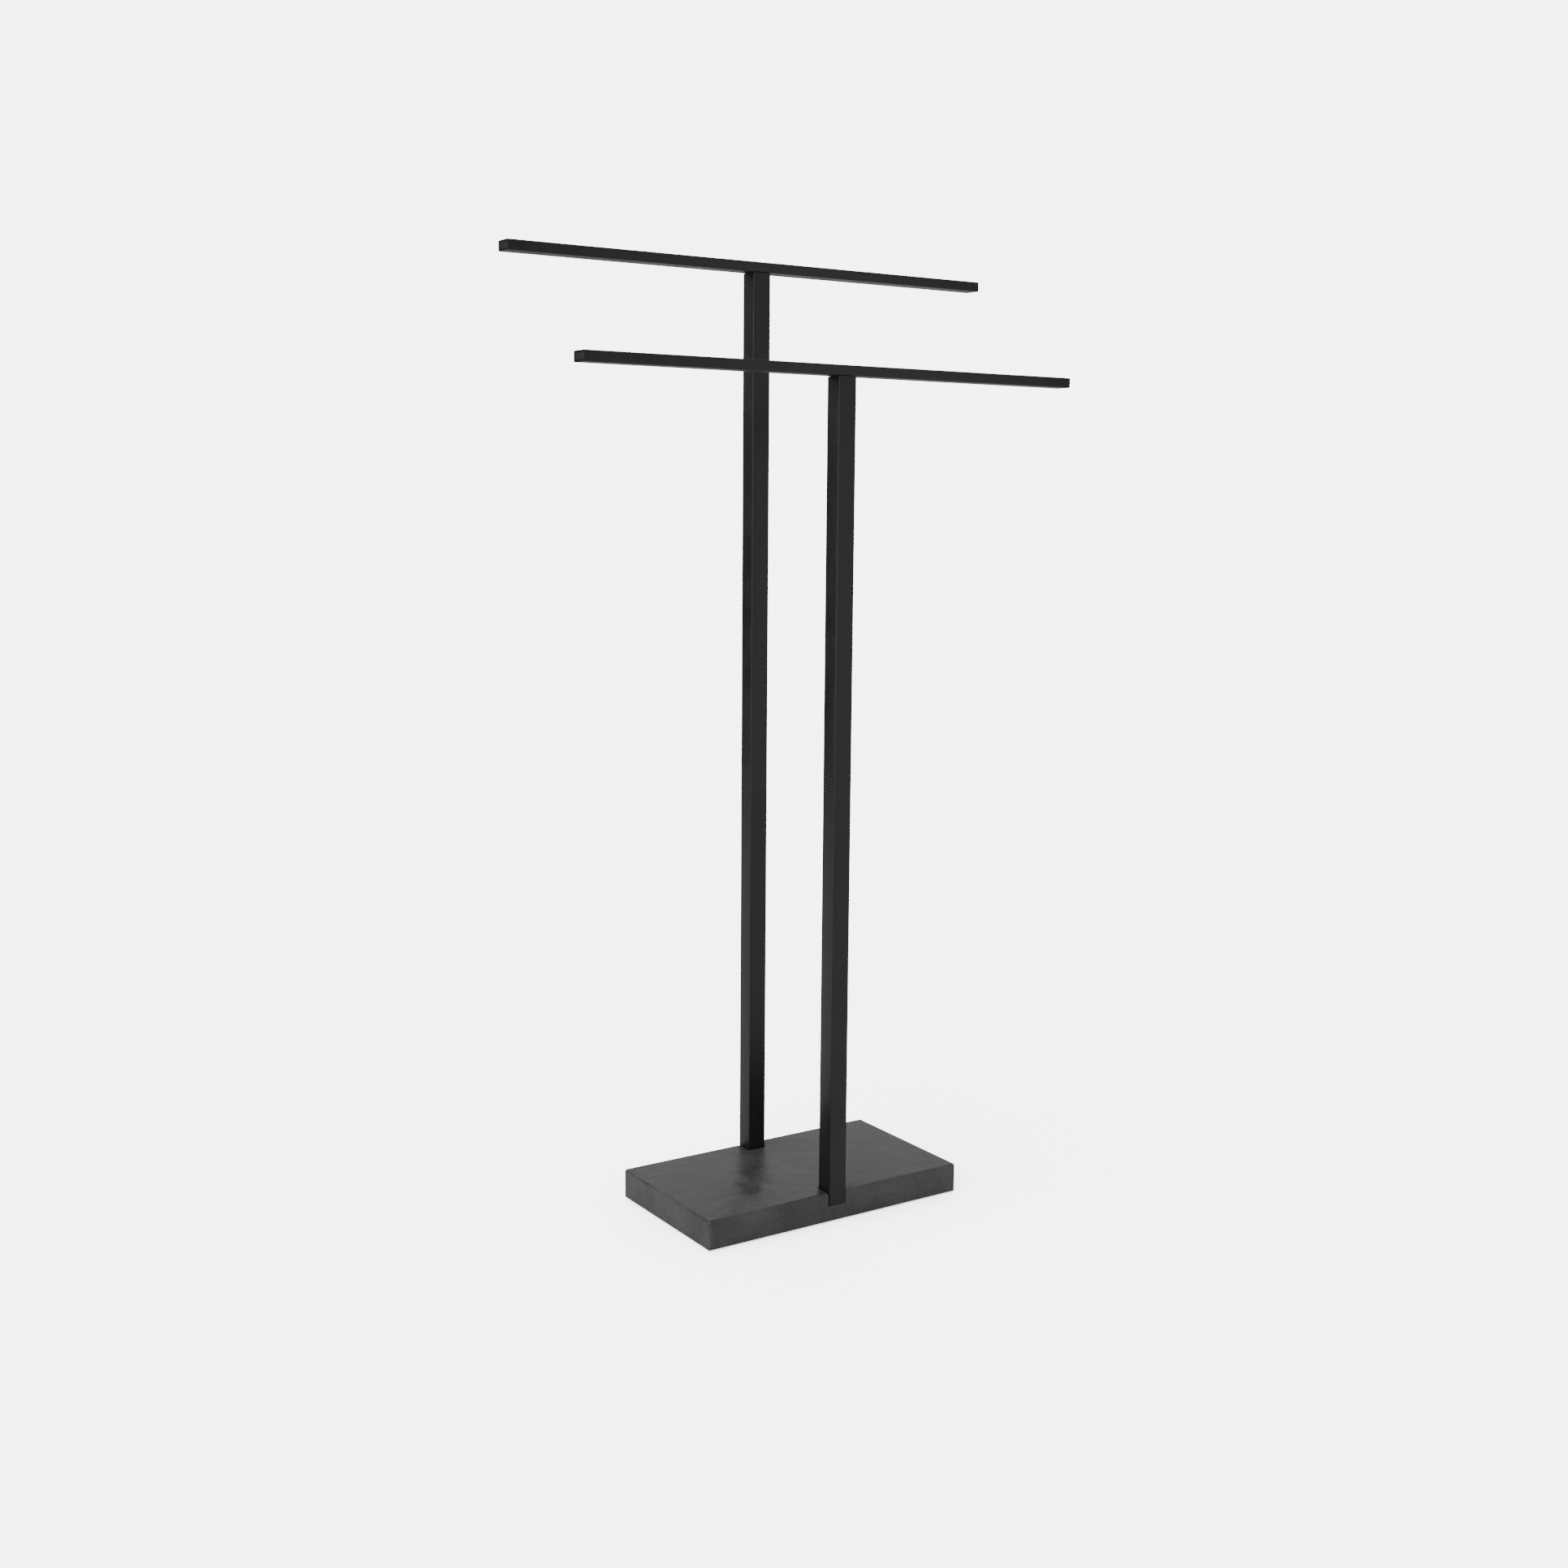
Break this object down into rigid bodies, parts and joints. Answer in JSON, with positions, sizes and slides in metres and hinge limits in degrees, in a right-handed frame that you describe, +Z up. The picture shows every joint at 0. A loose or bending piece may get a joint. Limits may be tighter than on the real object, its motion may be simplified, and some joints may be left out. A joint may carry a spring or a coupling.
{
  "type": "two-rail standing rack",
  "caption": "Free-standing rack: a dark stone slab with black square posts of unequal height, each let into the slab's edge and carrying a horizontal bar.",
  "frame": {"origin": "on the floor, at the centre of the slab's footprint", "axes": "+X along the bars and the slab's long side, +Y from the lower bar's side to the upper bar's side, +Z up"},
  "size_m": [0.56, 0.172, 0.96],
  "materials": {
    "stone": "honed dark grey stone with a satin seal",
    "rubber": "matte black",
    "powder_coat": "satin black powder coat on steel tube",
    "plug_plastic": "moulded, fine matte black",
    "plug_aluminium": "extruded and tapped, plain",
    "zinc_steel": "bright zinc plate",
    "black_oxide": "black oxide"
  },
  "bodies": {
    "root": {"base_slab": "stone", "foot_pad_front_left": "rubber", "foot_pad_front_right": "rubber", "foot_pad_rear_left": "rubber", "foot_pad_rear_right": "rubber", "front_post": "powder_coat", "rear_post": "powder_coat", "lower_bar": "powder_coat", "upper_bar": "powder_coat", "lower_bar_end_plug_left": "plug_plastic", "lower_bar_end_plug_right": "plug_plastic", "upper_bar_end_plug_left": "plug_plastic", "upper_bar_end_plug_right": "plug_plastic", "front_post_foot_plug": "plug_aluminium", "front_post_head_plug": "plug_aluminium", "rear_post_foot_plug": "plug_aluminium", "rear_post_head_plug": "plug_aluminium", "front_base_screw": "zinc_steel", "front_base_washer": "zinc_steel", "rear_base_screw": "zinc_steel", "rear_base_washer": "zinc_steel", "lower_bar_screw": "black_oxide", "upper_bar_screw": "black_oxide", "lower_bar_spacer": "zinc_steel", "upper_bar_spacer": "zinc_steel"}
  },
  "joints": []
}
